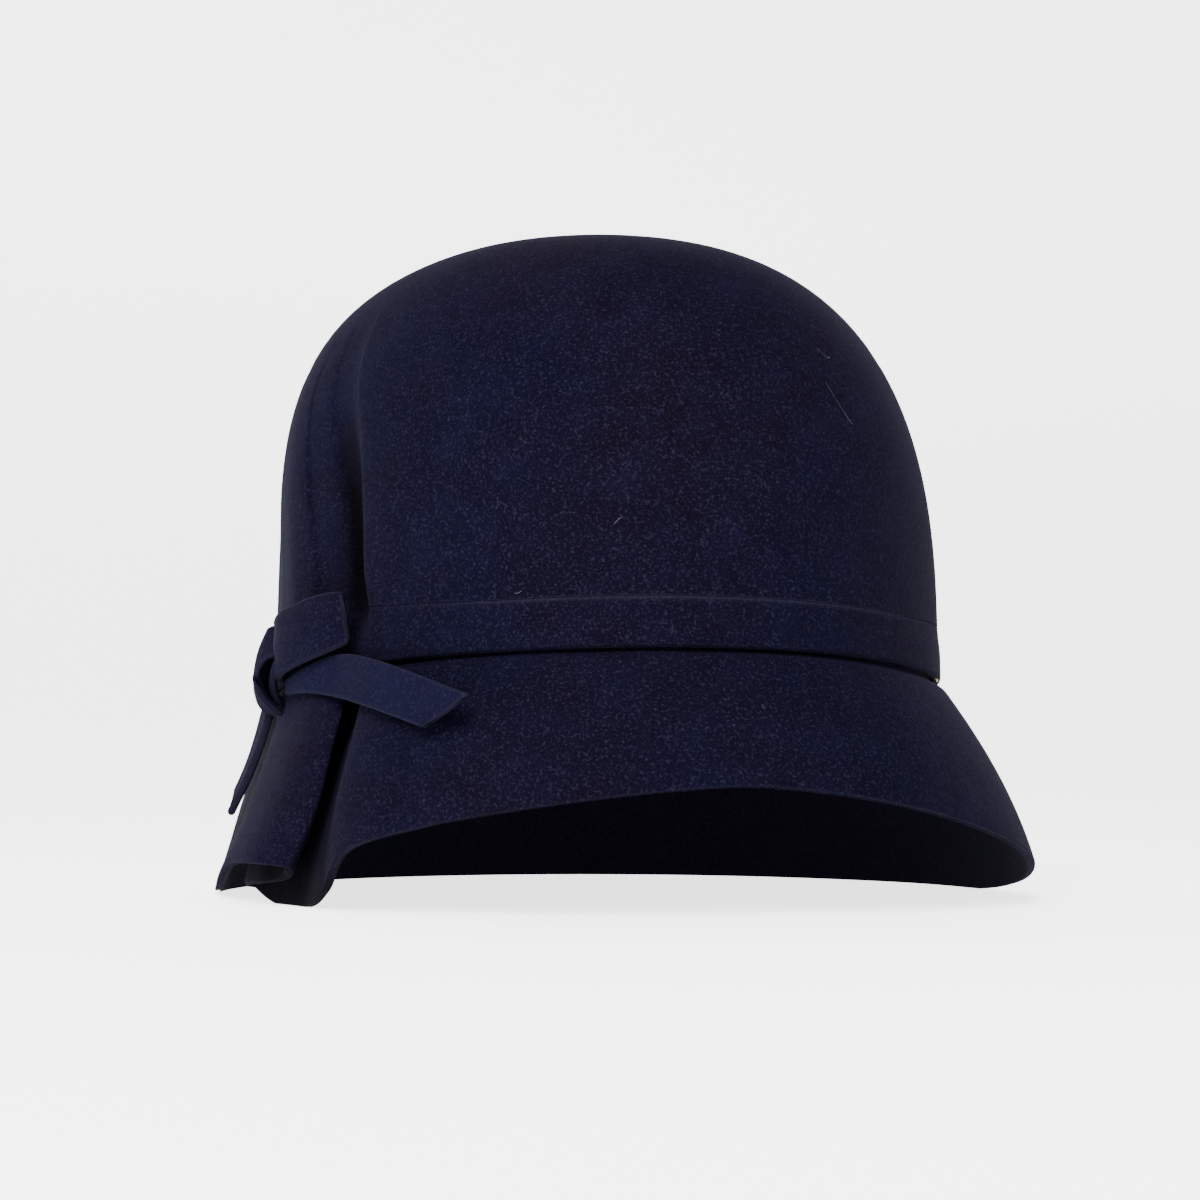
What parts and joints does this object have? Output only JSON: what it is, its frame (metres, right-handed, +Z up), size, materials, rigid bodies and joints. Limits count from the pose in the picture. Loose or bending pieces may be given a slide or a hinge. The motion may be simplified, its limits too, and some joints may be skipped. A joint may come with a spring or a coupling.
{
  "type": "cloche hat",
  "caption": "Close-fitting wool felt cloche with a domed crown, a narrow tuck band and a bell brim rolled up at one side under a knotted felt strip.",
  "frame": {"origin": "middle of the hat's footprint, on the surface that it rests on", "axes": "+Z up; the front of the hat faces -Y; the wearer's right, with the knot, is -X"},
  "size_m": [0.2088, 0.2436, 0.166],
  "materials": {
    "crown": "navy wool felt, fine short nap",
    "band": "navy wool felt, pressed tuck",
    "brim": "navy wool felt, raw cut edge",
    "knot": "navy wool felt strip, raw cut edges",
    "tie_front": "navy wool felt strip, raw cut edges",
    "tie_rear": "navy wool felt strip, raw cut edges"
  },
  "bodies": {
    "root": {"crown": "crown", "band": "band", "brim": "brim", "knot_wrap": "knot", "knot_loop": "knot", "tie_front": "tie_front", "tie_rear": "tie_rear"}
  },
  "joints": []
}
